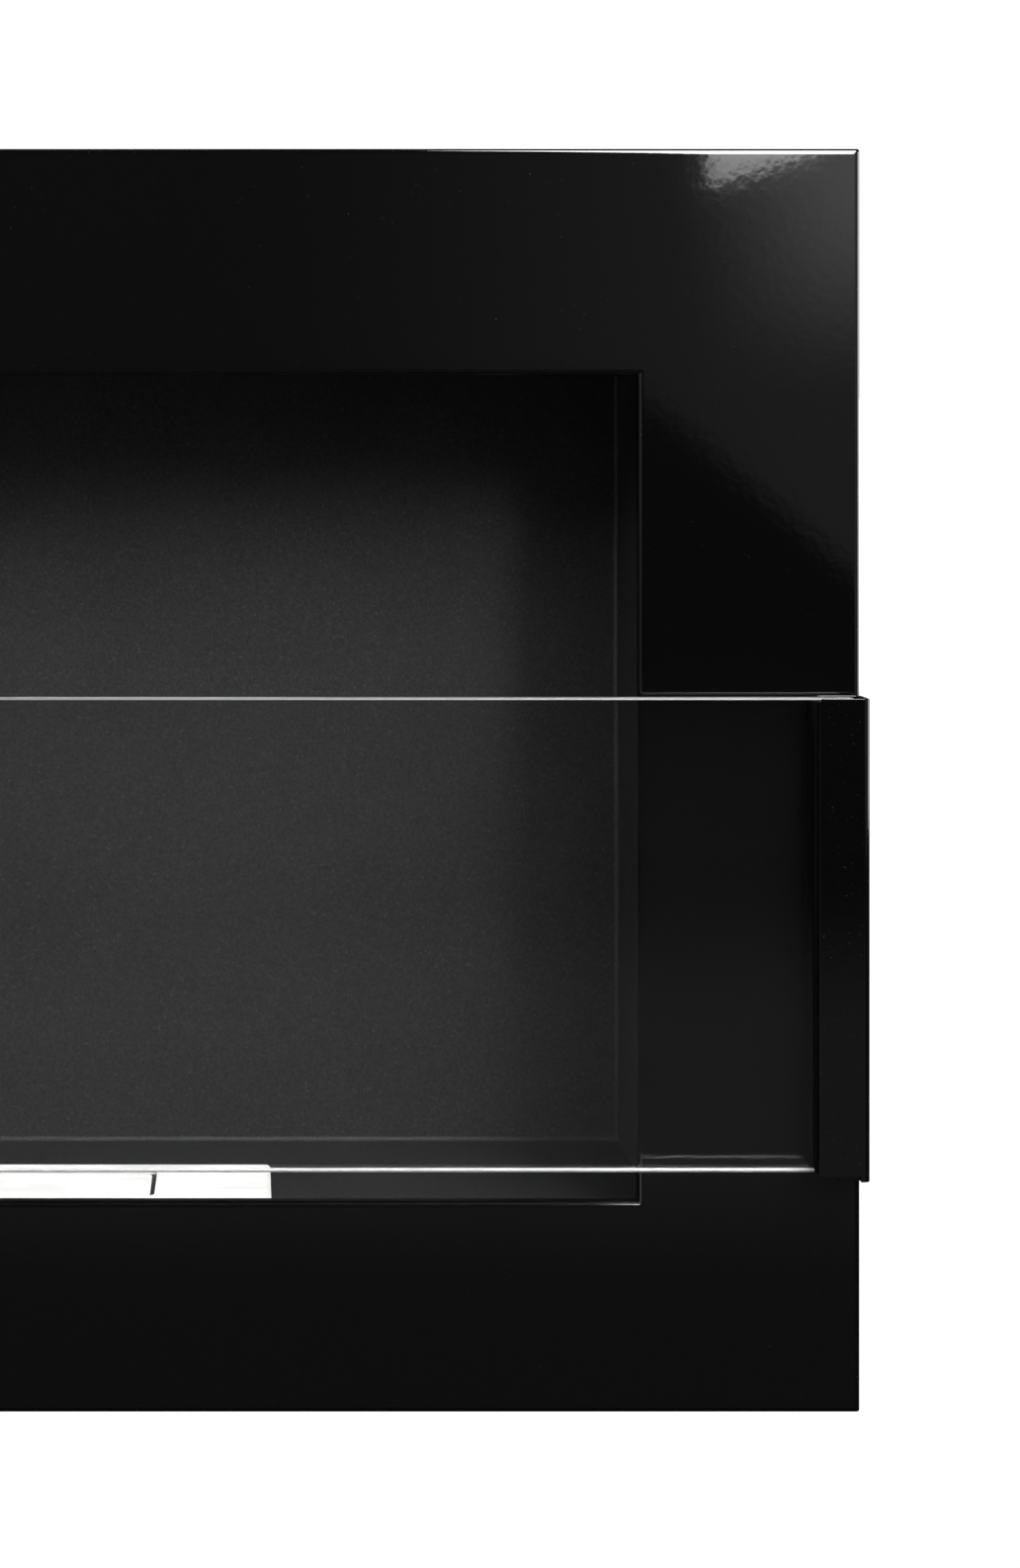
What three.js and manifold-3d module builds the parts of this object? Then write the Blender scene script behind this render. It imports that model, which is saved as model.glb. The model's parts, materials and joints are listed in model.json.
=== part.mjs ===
// Wall-hung bioethanol fireplace: a folded steel housing round a recessed firebox, a drop-in
// burner with a loose lid, and a low glass guard that stands in two channels on the face.
//
// Millimetres, +X to the right, +Y towards the wall, +Z up. Heights below are counted from the
// underside of the housing; the finished group is lowered so that the origin is the middle of the
// wall rail's rear face, on the wall plane y = 0.
import * as THREE from "three";
import { mergeVertices } from "three/addons/utils/BufferGeometryUtils.js";
import Module from "manifold-3d";

const wasm = await Module();
wasm.setup();

// ---- Driving dimensions -------------------------------------------------------------------

const WIDTH = 650;
const HEIGHT = 400;
const DEPTH = 140; // wall plane to the front face
const SHEET = 1.5; // housing, firebox and brackets
const BEND = 2; // outside radius of a press-brake bend
const FIT = 0.3; // gap round a shank in its hole
const REST_GAP = 0.1; // gap under a loose piece that rests on another

const OPENING = { side: 254.5, bottom: 67, top: 328, lip: 4 };
const FIREBOX = { side: 265, bottom: 57, top: 339, depth: 115, flange: 15, edgeRadius: 2 };
const COVER = { gap: 5, inset: 1, flange: 12 }; // gap: the rear cover's distance from the wall

const GLASS = { thickness: 5, height: 148, standOff: 6, arris: 0.6 };
const BRACKET = { bottom: 76.7, top: 227, front: 16, rear: 14, reach: 13.5 };

const BURNER = { side: 139, depth: 52, height: 2, sheet: 1.2, setBack: 51, cornerRadius: 1.5 };
const SLOT = { side: 100.3, depth: 30, cornerRadius: 2 };
const LID = { gap: 1.6, recess: 0.6, sheet: 1.2 };
const TANK = { side: 129, depth: 36, bottom: 12, sheet: 1, cornerRadius: 4 };
const WOOL_TOP = 41.5;

const RAIL = { length: 420, sheet: 2, leafBottom: 294, stepTop: 332, hookTop: 345, hookReach: 12 };

const STUD = { radius: 2.4, length: 11.5 }; // M5 weld stud
const NUT = { flats: 8, height: 4 }; // M5
const SCREW = { radius: 2, length: 8, headRadius: 3.6, headHeight: 1.8 }; // M4 pan head
const RIVET = { radius: 1.6, headRadius: 3.1, headHeight: 1.1 };

// ---- Places that follow from them ---------------------------------------------------------

const FACE_Y = -DEPTH;
const FACE_BACK_Y = FACE_Y + SHEET;
const COVER_BACK_Y = -COVER.gap;
const COVER_FRONT_Y = COVER_BACK_Y - SHEET;
const HALF_WIDTH = WIDTH / 2;
const FLOOR_UNDERSIDE = FIREBOX.bottom - SHEET;
const FLANGE_BACK_Y = FACE_BACK_Y + SHEET;
const BURNER_Y = FACE_Y + BURNER.setBack;
const BURNER_TOP = FIREBOX.bottom + BURNER.height;
const GLASS_REAR_Y = FACE_Y - GLASS.standOff;
const GLASS_FRONT_Y = GLASS_REAR_Y - GLASS.thickness;
const BRACKET_FRONT_Y = FACE_Y - BRACKET.reach;
const TAB_TOP = BRACKET.bottom + SHEET;
const PAD_TOP = TAB_TOP + 0.8;
const GLASS_BOTTOM = PAD_TOP + REST_GAP;
const ORIGIN_Z = (RAIL.leafBottom + RAIL.stepTop) / 2;

// Weld studs behind the face that carry the firebox, and those on each glass bracket.
const FIREBOX_STUDS = [
  ...[-180, 180].flatMap((x) => [[x, FIREBOX.bottom - 9], [x, FIREBOX.top + 9]]),
  ...[110, 286].flatMap((z) => [[-FIREBOX.side - 9, z], [FIREBOX.side + 9, z]]),
];
const BRACKET_STUD_X = HALF_WIDTH - 7.5;
const BRACKET_STUD_HEIGHTS = [106, 198];
const COVER_SCREWS = [
  ...[40, HEIGHT / 2, HEIGHT - 40].flatMap((z) => [[-HALF_WIDTH + 7, z], [HALF_WIDTH - 7, z]]),
  [0, 7],
  [0, HEIGHT - 7],
];
const RAIL_SLOTS = [-170, -60, 60, 170];
const STRIP_RIVETS = [-180, -60, 60, 180];
const STRIP_RIVET_HEIGHT = RAIL.stepTop + 9;

// ---- Materials ----------------------------------------------------------------------------

const finish = (color, roughness, metalness) =>
  new THREE.MeshStandardMaterial({ color, roughness, metalness });

const glossBlack = finish(0x08080a, 0.12, 0.1);
const textureBlack = finish(0x1b1b1c, 0.75, 0.1);
const stainless = finish(0xc9cacb, 0.28, 1);
const zincPlate = finish(0x9fa3a6, 0.42, 0.9);
const blackRubber = finish(0x101011, 0.85, 0);
const ceramicWool = finish(0xe9e6df, 0.95, 0);
const clearGlass = new THREE.MeshStandardMaterial({
  color: 0xdfeeea,
  roughness: 0.03,
  metalness: 0,
  transparent: true,
  opacity: 0.25,
});

// ---- Solids -------------------------------------------------------------------------------

// A closed three.js geometry as a solid that can be joined and cut.
function solid(geometry) {
  geometry.deleteAttribute("normal");
  geometry.deleteAttribute("uv");
  const merged = mergeVertices(geometry, 1e-4);
  return new wasm.Manifold(
    new wasm.Mesh({
      numProp: 3,
      vertProperties: merged.attributes.position.array,
      triVerts: new Uint32Array(merged.index.array),
    }),
  );
}

const join = (first, ...others) => others.reduce((whole, piece) => whole.add(piece), first);
const cut = (body, ...tools) => tools.reduce((rest, tool) => rest.subtract(tool), body);
const common = (first, ...others) => others.reduce((rest, piece) => rest.intersect(piece), first);

// The three ways an outline can be pushed out: its own u and v run along the other two axes.
const ALONG = {
  x: [new THREE.Vector3(0, 1, 0), new THREE.Vector3(0, 0, 1), new THREE.Vector3(1, 0, 0)],
  y: [new THREE.Vector3(1, 0, 0), new THREE.Vector3(0, 0, 1), new THREE.Vector3(0, -1, 0)],
  z: [new THREE.Vector3(1, 0, 0), new THREE.Vector3(0, 1, 0), new THREE.Vector3(0, 0, 1)],
};

// An outline pushed out along an axis, from one coordinate to another. Along x the outline is
// (y, z), along y it is (x, z), and along z it is (x, y). Each arc of it gets arcSteps sides.
function prism(outline, axis, from, to, arcSteps = 6) {
  const geometry = new THREE.ExtrudeGeometry(outline, {
    depth: to - from,
    bevelEnabled: false,
    curveSegments: arcSteps / 2, // three.js doubles it on an arc
  });
  geometry.applyMatrix4(new THREE.Matrix4().makeBasis(...ALONG[axis]));
  const start = axis === "y" ? to : from;
  geometry.translate(...["x", "y", "z"].map((name) => (name === axis ? start : 0)));
  return solid(geometry);
}

function box(x0, x1, y0, y1, z0, z1) {
  const geometry = new THREE.BoxGeometry(x1 - x0, y1 - y0, z1 - z0);
  geometry.translate((x0 + x1) / 2, (y0 + y1) / 2, (z0 + z1) / 2);
  return solid(geometry);
}

// A rectangle from (u0, v0) to (u1, v1) with one radius for each corner, or one for all four,
// counted from the lower left corner and counter-clockwise. Each round corner gets steps sides.
function rectangle(u0, u1, v0, v1, radii = 0, steps = 6) {
  const r = Array.isArray(radii) ? radii : [radii, radii, radii, radii];
  const corners = [[u0, v0, 1, 1], [u1, v0, -1, 1], [u1, v1, -1, -1], [u0, v1, 1, -1]];
  const points = corners.flatMap(([u, v, inU, inV], i) => {
    if (r[i] === 0) return [new THREE.Vector2(u, v)];
    const start = Math.PI + (i * Math.PI) / 2;
    const middle = [u + inU * r[i], v + inV * r[i]];
    const arc = new THREE.EllipseCurve(...middle, r[i], r[i], start, start + Math.PI / 2);
    return arc.getPoints(steps);
  });
  return new THREE.Shape(points);
}

const circle = (u, v, radius) => new THREE.Shape().absarc(u, v, radius, 0, 2 * Math.PI);
const rod = (axis, u, v, radius, from, to, sides = 14) =>
  prism(circle(u, v, radius), axis, from, to, sides);

// A slot with round ends, long in x, cut through from y0 to y1.
function slotHole(x, z, length, width, y0, y1) {
  const half = width / 2;
  const outline = rectangle(x - length / 2, x + length / 2, z - half, z + half, half - 0.01, 4);
  return prism(outline, "y", y0, y1);
}

// The outline of a bent sheet whose middle line follows the given points.
function foldedSheet(points, thickness, insideRadius = 0.5, steps = 6) {
  const path = points.map(([u, v]) => new THREE.Vector2(u, v));
  const half = thickness / 2;
  const bend = insideRadius + half;
  const left = [];
  const right = [];
  path.forEach((point, i) => {
    const into = i > 0 ? point.clone().sub(path[i - 1]).normalize() : null;
    const out = i < path.length - 1 ? path[i + 1].clone().sub(point).normalize() : null;
    if (!into || !out) {
      const along = into ?? out;
      const across = new THREE.Vector2(-along.y, along.x);
      left.push(point.clone().addScaledVector(across, half));
      right.push(point.clone().addScaledVector(across, -half));
      return;
    }
    const turn = Math.atan2(into.cross(out), into.dot(out));
    const side = Math.sign(turn);
    const inward = new THREE.Vector2(-into.y, into.x).multiplyScalar(side);
    const centre = point
      .clone()
      .addScaledVector(into, -bend * Math.tan(Math.abs(turn) / 2))
      .addScaledVector(inward, bend);
    for (let k = 0; k <= steps; k++) {
      const radial = inward
        .clone()
        .negate()
        .rotateAround(new THREE.Vector2(), (turn * k) / steps);
      left.push(centre.clone().addScaledVector(radial, bend - side * half));
      right.push(centre.clone().addScaledVector(radial, bend + side * half));
    }
  });
  return new THREE.Shape([...left, ...right.reverse()]);
}

// A box with chosen radii on the edges along Z (seen from above), along X (seen from the side)
// and along Y (seen from the front).
function softBox([x0, x1], [y0, y1], [z0, z1], above, side, front) {
  return common(
    prism(rectangle(x0, x1, y0, y1, above), "z", z0, z1),
    prism(rectangle(y0, y1, z0, z1, side), "x", x0, x1),
    prism(rectangle(x0, x1, z0, z1, front), "y", y0, y1),
  );
}

// The same solid on the other side of the middle plane x = 0.
const mirrored = (body) => body.mirror([1, 0, 0]);

// ---- The object ---------------------------------------------------------------------------

const fireplace = new THREE.Group();
fireplace.position.z = -ORIGIN_Z;

function add(name, body, material, x = 0, y = 0, z = 0) {
  const mesh = body.getMesh();
  const geometry = new THREE.BufferGeometry();
  geometry.setAttribute("position", new THREE.BufferAttribute(mesh.vertProperties, 3));
  geometry.setIndex(new THREE.BufferAttribute(mesh.triVerts, 1));
  geometry.computeVertexNormals();
  const piece = new THREE.Mesh(geometry, material);
  piece.name = name;
  piece.position.set(x, y, z);
  fireplace.add(piece);
}

// Z-section rail on the wall: a leaf with slots for the wall screws, a step, and an upright hook.
function wallRail() {
  const { length, sheet, leafBottom, stepTop, hookTop, hookReach } = RAIL;
  const half = sheet / 2;
  const section = foldedSheet(
    [
      [-half, leafBottom],
      [-half, stepTop - half],
      [half - hookReach, stepTop - half],
      [half - hookReach, hookTop],
    ],
    sheet,
  );
  const slots = RAIL_SLOTS.map((x) => slotHole(x, ORIGIN_Z - 3, 13, 5.5, -2 * sheet, 1));
  return cut(prism(section, "x", -length / 2, length / 2), ...slots);
}

// One edge of the face's opening: the sheet turns inwards round the bend and ends in a short lip.
function openingEdge() {
  const outline = new THREE.Shape();
  outline.moveTo(BEND + 0.5, FACE_BACK_Y);
  outline.lineTo(BEND + 0.5, FACE_Y);
  outline.lineTo(BEND, FACE_Y);
  outline.absarc(BEND, FACE_Y + BEND, BEND, -Math.PI / 2, -Math.PI, true);
  outline.lineTo(0, FACE_Y + OPENING.lip);
  outline.lineTo(SHEET, FACE_Y + OPENING.lip);
  outline.lineTo(SHEET, FACE_Y + BEND);
  outline.absarc(BEND, FACE_Y + BEND, BEND - SHEET, Math.PI, (3 * Math.PI) / 2);
  outline.closePath();
  return outline;
}

// Face, four folded sides and the inward rear flanges, with weld studs behind the face.
function frontFrame() {
  const { side, bottom, top } = OPENING;
  const inside = BEND - SHEET;
  const shell = cut(
    softBox([-HALF_WIDTH, HALF_WIDTH], [FACE_Y, COVER_FRONT_Y], [0, HEIGHT], BEND, BEND, 0.8),
    softBox(
      [SHEET - HALF_WIDTH, HALF_WIDTH - SHEET],
      [FACE_BACK_Y, COVER_FRONT_Y - SHEET],
      [SHEET, HEIGHT - SHEET],
      inside,
      inside,
      0,
    ),
    box(
      COVER.flange - HALF_WIDTH,
      HALF_WIDTH - COVER.flange,
      COVER_FRONT_Y - 2 * SHEET,
      0,
      COVER.flange,
      HEIGHT - COVER.flange,
    ),
    box(-side - BEND, side + BEND, FACE_Y - 1, FACE_BACK_Y + 1, bottom - BEND, top + BEND),
  );
  const edge = openingEdge();
  const upright = prism(edge, "z", bottom - BEND, top + BEND).translate([side, 0, 0]);
  const level = prism(edge, "z", -side - BEND, side + BEND).rotate([0, 90, 0]).mirror([0, 0, 1]);
  const lip = [
    upright,
    mirrored(upright),
    level.translate([0, 0, top]),
    level.mirror([0, 0, 1]).translate([0, 0, bottom]),
  ];
  const studs = FIREBOX_STUDS.map(([x, z]) =>
    rod("y", x, z, STUD.radius, FACE_BACK_Y - 0.5, FACE_BACK_Y + STUD.length),
  );
  const holes = COVER_SCREWS.map(([x, z]) =>
    rod("y", x, z, SCREW.radius + FIT, COVER_FRONT_Y - 2 * SHEET, 0),
  );
  const bracketHoles = [-1, 1].flatMap((sign) =>
    BRACKET_STUD_HEIGHTS.map((z) =>
      rod("y", sign * BRACKET_STUD_X, z, STUD.radius + FIT, FACE_Y - 1, FACE_BACK_Y + 1),
    ),
  );
  return cut(join(shell, ...lip, ...studs), ...holes, ...bracketHoles);
}

// Open-fronted tray with a flange behind the face and a cut-out for the burner in its floor.
function firebox() {
  const { side, bottom, top, depth, flange, edgeRadius } = FIREBOX;
  const backY = FACE_Y + depth;
  const outer = edgeRadius + SHEET;
  const tray = cut(
    softBox(
      [-side - SHEET, side + SHEET],
      [FACE_BACK_Y, backY + SHEET],
      [bottom - SHEET, top + SHEET],
      [0, 0, outer, outer],
      [0, outer, outer, 0],
      0,
    ),
    softBox(
      [-side, side],
      [FACE_BACK_Y - 1, backY],
      [bottom, top],
      [0, 0, edgeRadius, edgeRadius],
      [0, edgeRadius, edgeRadius, 0],
      0,
    ),
  );
  const rim = cut(
    box(
      -side - flange,
      side + flange,
      FACE_BACK_Y,
      FLANGE_BACK_Y,
      bottom - flange,
      top + flange,
    ),
    box(-side - 0.5, side + 0.5, FACE_Y, 0, bottom - 0.5, top + 0.5),
  );
  const cutOut = prism(
    rectangle(-TANK.side - 3.5, TANK.side + 3.5, BURNER_Y - 20.5, BURNER_Y + 20.5, 3),
    "z",
    bottom - 3,
    bottom + 3,
  );
  const holes = FIREBOX_STUDS.map(([x, z]) =>
    rod("y", x, z, STUD.radius + FIT, FACE_BACK_Y - 1, FLANGE_BACK_Y + 1),
  );
  return cut(join(tray, rim), cutOut, ...holes);
}

// Closed sheet-metal tub under the cut-out: spilled fuel stays in it.
function burnerWell() {
  const wall = 1;
  const top = FLOOR_UNDERSIDE;
  const bottom = 6;
  const side = TANK.side + 5;
  const half = 21.5;
  const y = [BURNER_Y - half, BURNER_Y + half];
  const tub = cut(
    join(
      prism(rectangle(-side - wall, side + wall, y[0] - wall, y[1] + wall, 5), "z", bottom, top),
      prism(rectangle(-side - 9, side + 9, y[0] - 9, y[1] + 9, 5), "z", top - wall, top),
    ),
    prism(rectangle(-side, side, y[0], y[1], 4), "z", bottom + wall, top + 1),
  );
  return tub;
}

// Hat-section shield that keeps the firebox's heat off the top of the housing.
function heatShield() {
  const sheet = 1;
  const foot = FIREBOX.top + SHEET + sheet / 2;
  const roof = foot + 22;
  const section = foldedSheet(
    [[-226, foot], [-208, foot], [-208, roof], [208, roof], [208, foot], [226, foot]],
    sheet,
  );
  return prism(section, "y", FACE_Y + 16, FACE_Y + FIREBOX.depth - 16);
}

// Channel between the housing's bottom and the firebox floor, beside the burner well.
function floorSupport() {
  const low = SHEET + SHEET / 2;
  const high = FLOOR_UNDERSIDE - SHEET / 2;
  const section = foldedSheet([[232, low], [202, low], [202, high], [232, high]], SHEET);
  return prism(section, "y", FACE_Y + 18, FACE_Y + FIREBOX.depth - 14);
}

// Flat sheet on the rear flanges, with a window that drops over the rail's hook and vent slots.
function rearCover() {
  const { inset } = COVER;
  const sheet = prism(
    rectangle(inset - HALF_WIDTH, HALF_WIDTH - inset, inset, HEIGHT - inset, 2),
    "y",
    COVER_FRONT_Y,
    COVER_BACK_Y,
  );
  const throughY = [COVER_FRONT_Y - 1, COVER_BACK_Y + 1];
  const windowHole = prism(
    rectangle(
      -RAIL.length / 2 - 6,
      RAIL.length / 2 + 6,
      RAIL.stepTop - 20,
      RAIL.stepTop + 2 * REST_GAP,
      1,
    ),
    "y",
    ...throughY,
  );
  const vents = [30, 376].flatMap((z) =>
    [-4, -3, -2, -1, 1, 2, 3, 4].map((i) => slotHole(i * 52, z, 34, 4, ...throughY)),
  );
  const holes = [...COVER_SCREWS.map(([x, z]) => [x, z, SCREW.radius + FIT])]
    .concat(STRIP_RIVETS.map((x) => [x, STRIP_RIVET_HEIGHT, RIVET.radius + FIT]))
    .map(([x, z, radius]) => rod("y", x, z, radius, ...throughY, 12));
  return cut(sheet, windowHole, ...vents, ...holes);
}

// Doubling strip above the window: it and the cover's edge hang on the rail's step.
function hangingStrip() {
  const strip = prism(
    rectangle(
      -RAIL.length / 2,
      RAIL.length / 2,
      RAIL.stepTop + 2 * REST_GAP,
      RAIL.stepTop + 20,
      1,
    ),
    "y",
    COVER_FRONT_Y - 2,
    COVER_FRONT_Y,
  );
  const holes = STRIP_RIVETS.map((x) =>
    rod("y", x, STRIP_RIVET_HEIGHT, RIVET.radius + FIT, COVER_FRONT_Y - 3, 0, 12),
  );
  return cut(strip, ...holes);
}

// A turned piece on an axis along Y: its profile is (radius, distance along the axis).
function turned(profile, segments = 16) {
  const geometry = new THREE.LatheGeometry(
    profile.map(([radius, along]) => new THREE.Vector2(radius, along)),
    segments,
  );
  return solid(geometry);
}

// Blind rivet from the wall side (+Y): domed head, shank and the swelling on the inner side.
function rivet() {
  const { radius, headRadius, headHeight } = RIVET;
  const grip = SHEET + 2;
  return turned([
    [0, -grip - 1],
    [1.8, -grip - 1],
    [2.5, -grip - 0.5],
    [2.5, -grip],
    [radius, -grip],
    [radius, 0],
    [headRadius, 0],
    [headRadius * 0.8, headHeight * 0.7],
    [headRadius * 0.4, headHeight],
    [0, headHeight],
  ]);
}

// Pan head screw with a cross recess; its head sits on the wall side (+Y).
function coverScrew() {
  const { radius, length, headRadius, headHeight } = SCREW;
  const body = turned([
    [0, -length],
    [radius * 0.7, -length],
    [radius, 0.6 - length],
    [radius, 0],
    [headRadius, 0],
    [headRadius, headHeight * 0.45],
    [headRadius * 0.8, headHeight * 0.85],
    [headRadius * 0.45, headHeight],
    [0, headHeight],
  ]);
  const arm = headRadius * 0.55;
  const depth = headHeight * 0.4;
  return cut(
    body,
    box(-arm, arm, depth, headHeight + 1, -0.4, 0.4),
    box(-0.4, 0.4, depth, headHeight + 1, -arm, arm),
  );
}

// Hexagon nut with its axis along Y, standing from y = 0 towards the wall.
function nut() {
  const corner = NUT.flats / Math.sqrt(3);
  const hexagon = new THREE.Shape(
    Array.from({ length: 6 }, (_, i) => {
      const angle = (i * Math.PI) / 3;
      return new THREE.Vector2(corner * Math.cos(angle), corner * Math.sin(angle));
    }),
  );
  return cut(
    prism(hexagon, "y", 0, NUT.height),
    rod("y", 0, 0, STUD.radius + FIT, -1, NUT.height + 1),
  );
}

// Right-hand channel for the glass: front flange, web flush with the housing's side, rear flange
// with two weld studs, and a tab folded in under the glass.
function glassBracket() {
  const { bottom, top, front, rear } = BRACKET;
  const half = SHEET / 2;
  const section = foldedSheet(
    [
      [HALF_WIDTH - front, BRACKET_FRONT_Y + half],
      [HALF_WIDTH - half, BRACKET_FRONT_Y + half],
      [HALF_WIDTH - half, FACE_Y - half],
      [HALF_WIDTH - rear, FACE_Y - half],
    ],
    SHEET,
  );
  const inner = HALF_WIDTH - front;
  const cornerRadius = 1.6;
  const corner = cut(
    box(
      inner - 1,
      inner + cornerRadius,
      BRACKET_FRONT_Y - 1,
      BRACKET_FRONT_Y + 3,
      top - cornerRadius,
      top + 1,
    ),
    rod(
      "y",
      inner + cornerRadius,
      top - cornerRadius,
      cornerRadius,
      BRACKET_FRONT_Y - 2,
      BRACKET_FRONT_Y + 4,
    ),
  );
  const notch = box(
    inner - 1,
    HALF_WIDTH - 3,
    BRACKET_FRONT_Y - 1,
    BRACKET_FRONT_Y + 2,
    bottom - 1,
    TAB_TOP,
  );
  const tab = box(
    HALF_WIDTH - 9.5,
    HALF_WIDTH - half,
    BRACKET_FRONT_Y + 2,
    FACE_Y - 2,
    bottom,
    TAB_TOP,
  );
  const studs = BRACKET_STUD_HEIGHTS.map((z) =>
    rod("y", BRACKET_STUD_X, z, STUD.radius, FACE_Y - 0.5, FACE_Y + STUD.length),
  );
  return join(cut(prism(section, "z", bottom, top), corner, notch), tab, ...studs);
}

// Rubber lining of the channel: it holds the glass against the front flange.
function glassGasket() {
  const inner = HALF_WIDTH - BRACKET.front - 1.2;
  const outer = HALF_WIDTH - SHEET - 0.6;
  const clear = 0.2;
  return cut(
    box(
      inner,
      outer,
      BRACKET_FRONT_Y + SHEET,
      FACE_Y - SHEET,
      PAD_TOP + 0.3,
      BRACKET.top - 1,
    ),
    box(
      inner - 1,
      outer - 1.1,
      GLASS_FRONT_Y - clear,
      GLASS_REAR_Y + clear,
      PAD_TOP - 1,
      BRACKET.top + 1,
    ),
  );
}

function restPad() {
  return box(
    HALF_WIDTH - 9,
    HALF_WIDTH - 2,
    GLASS_FRONT_Y,
    GLASS_REAR_Y,
    TAB_TOP,
    PAD_TOP,
  );
}

function glassPane() {
  const { height, arris } = GLASS;
  const end = HALF_WIDTH - SHEET - 0.6 - 1.1 - 0.6;
  const top = GLASS_BOTTOM + height;
  const section = new THREE.Shape(
    [
      [GLASS_FRONT_Y + arris, GLASS_BOTTOM],
      [GLASS_REAR_Y - arris, GLASS_BOTTOM],
      [GLASS_REAR_Y, GLASS_BOTTOM + arris],
      [GLASS_REAR_Y, top - arris],
      [GLASS_REAR_Y - arris, top],
      [GLASS_FRONT_Y + arris, top],
      [GLASS_FRONT_Y, top - arris],
      [GLASS_FRONT_Y, GLASS_BOTTOM + arris],
    ].map(([y, z]) => new THREE.Vector2(y, z)),
  );
  return prism(section, "x", -end, end);
}

function wallBumper() {
  const radius = 11;
  const height = COVER.gap;
  return turned([[0, 0], [radius, 0], [radius, height - 1], [radius - 1, height], [0, height]], 24);
}

// Shallow drawn cover of the burner, with the flame slot and four ledges that carry the lid.
function burnerTopPlate() {
  const { side, depth, sheet, cornerRadius } = BURNER;
  const halfDepth = depth / 2;
  const bottom = FIREBOX.bottom + REST_GAP;
  const crown = BURNER_TOP - bottom - 0.1;
  const front = BURNER_Y - halfDepth;
  const rear = BURNER_Y + halfDepth;
  const skin = cut(
    common(
      prism(rectangle(-side, side, front, rear, cornerRadius), "z", bottom, BURNER_TOP),
      prism(rectangle(-side, side, bottom, BURNER_TOP, [0, 0, crown, crown]), "y", front, rear),
      prism(rectangle(front, rear, bottom, BURNER_TOP, [0, 0, crown, crown]), "x", -side, side),
    ),
    box(
      sheet - side,
      side - sheet,
      front + sheet,
      rear - sheet,
      bottom - 1,
      BURNER_TOP - sheet,
    ),
    prism(
      rectangle(
        -SLOT.side,
        SLOT.side,
        BURNER_Y - SLOT.depth / 2,
        BURNER_Y + SLOT.depth / 2,
        SLOT.cornerRadius,
      ),
      "z",
      bottom - 1,
      BURNER_TOP + 1,
    ),
  );
  const ledgeTop = BURNER_TOP - LID.recess - LID.sheet - REST_GAP;
  const ledges = [-60, 60].flatMap((x) =>
    [-1, 1].map((sign) => {
      const edge = BURNER_Y + (sign * SLOT.depth) / 2;
      const span = (from, to) => [edge + sign * from, edge + sign * to].sort((a, b) => a - b);
      const riser = box(x - 9, x + 9, ...span(0, 1.6), ledgeTop - sheet, BURNER_TOP - sheet / 2);
      const shelf = box(x - 9, x + 9, ...span(-4, 0.8), ledgeTop - sheet, ledgeTop);
      return join(riser, shelf);
    }),
  );
  return join(skin, ...ledges);
}

function burnerTank() {
  const { side, depth, bottom, sheet, cornerRadius } = TANK;
  const half = depth / 2;
  const top = BURNER_TOP - BURNER.sheet - REST_GAP;
  const y = [BURNER_Y - half, BURNER_Y + half];
  return cut(
    prism(rectangle(-side, side, ...y, cornerRadius), "z", bottom, top),
    prism(
      rectangle(sheet - side, side - sheet, y[0] + sheet, y[1] - sheet, cornerRadius - sheet),
      "z",
      bottom + sheet,
      top + 1,
    ),
  );
}

function woolPad() {
  const half = TANK.depth / 2 - 2.5;
  return prism(
    rectangle(4 - TANK.side, TANK.side - 4, BURNER_Y - half, BURNER_Y + half, 3),
    "z",
    TANK.bottom + TANK.sheet + 0.3,
    WOOL_TOP,
  );
}

// Perforated bridge that holds the wool down; its folded ends stand on the tank's bottom.
function woolMesh() {
  const sheet = 0.8;
  const end = TANK.side - TANK.sheet - sheet / 2 - 0.4;
  const roof = WOOL_TOP + 0.3 + sheet / 2;
  const foot = TANK.bottom + TANK.sheet + REST_GAP;
  const half = TANK.depth / 2 - 4.2;
  const bridge = prism(
    foldedSheet([[-end, foot], [-end, roof], [end, roof], [end, foot]], sheet, 0.5, 3),
    "y",
    BURNER_Y - half,
    BURNER_Y + half,
  );
  const holes = [];
  for (let column = 0; column < 14; column++) {
    for (const row of [-1, 1]) {
      const x = (column - 6.5) * 17 + row * 2;
      holes.push(rod("z", x, BURNER_Y + row * 6.5, 3.6, roof - 1, roof + 1, 8));
    }
  }
  return cut(bridge, ...holes);
}

function lidPlate() {
  const half = SLOT.depth / 2 - LID.gap;
  const side = SLOT.side - LID.gap;
  const top = BURNER_TOP - LID.recess;
  return prism(
    rectangle(-side, side, BURNER_Y - half, BURNER_Y + half, SLOT.cornerRadius),
    "z",
    top - LID.sheet,
    top,
  );
}

// Strip loop for the lifting hook, its feet flat on the lid.
function lidHandle() {
  const foot = BURNER_TOP - LID.recess + LID.sheet / 2;
  const bridge = foot + 12;
  const section = foldedSheet(
    [[-23, foot], [-14, foot], [-14, bridge], [14, bridge], [14, foot], [23, foot]],
    LID.sheet,
    1.5,
  );
  return prism(section, "y", BURNER_Y - 6, BURNER_Y + 6);
}

// ---- Assembly -----------------------------------------------------------------------------

add("wall_rail", wallRail(), zincPlate);

add("front_frame", frontFrame(), glossBlack);
add("firebox_shell", firebox(), textureBlack);
add("burner_well", burnerWell(), zincPlate);
add("heat_shield", heatShield(), zincPlate);
const support = floorSupport();
add("floor_support_right", support, zincPlate);
add("floor_support_left", mirrored(support), zincPlate);
const nutBody = nut();
FIREBOX_STUDS.forEach(([x, z], i) =>
  add(`firebox_nut_${i + 1}`, nutBody, zincPlate, x, FLANGE_BACK_Y, z),
);

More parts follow.
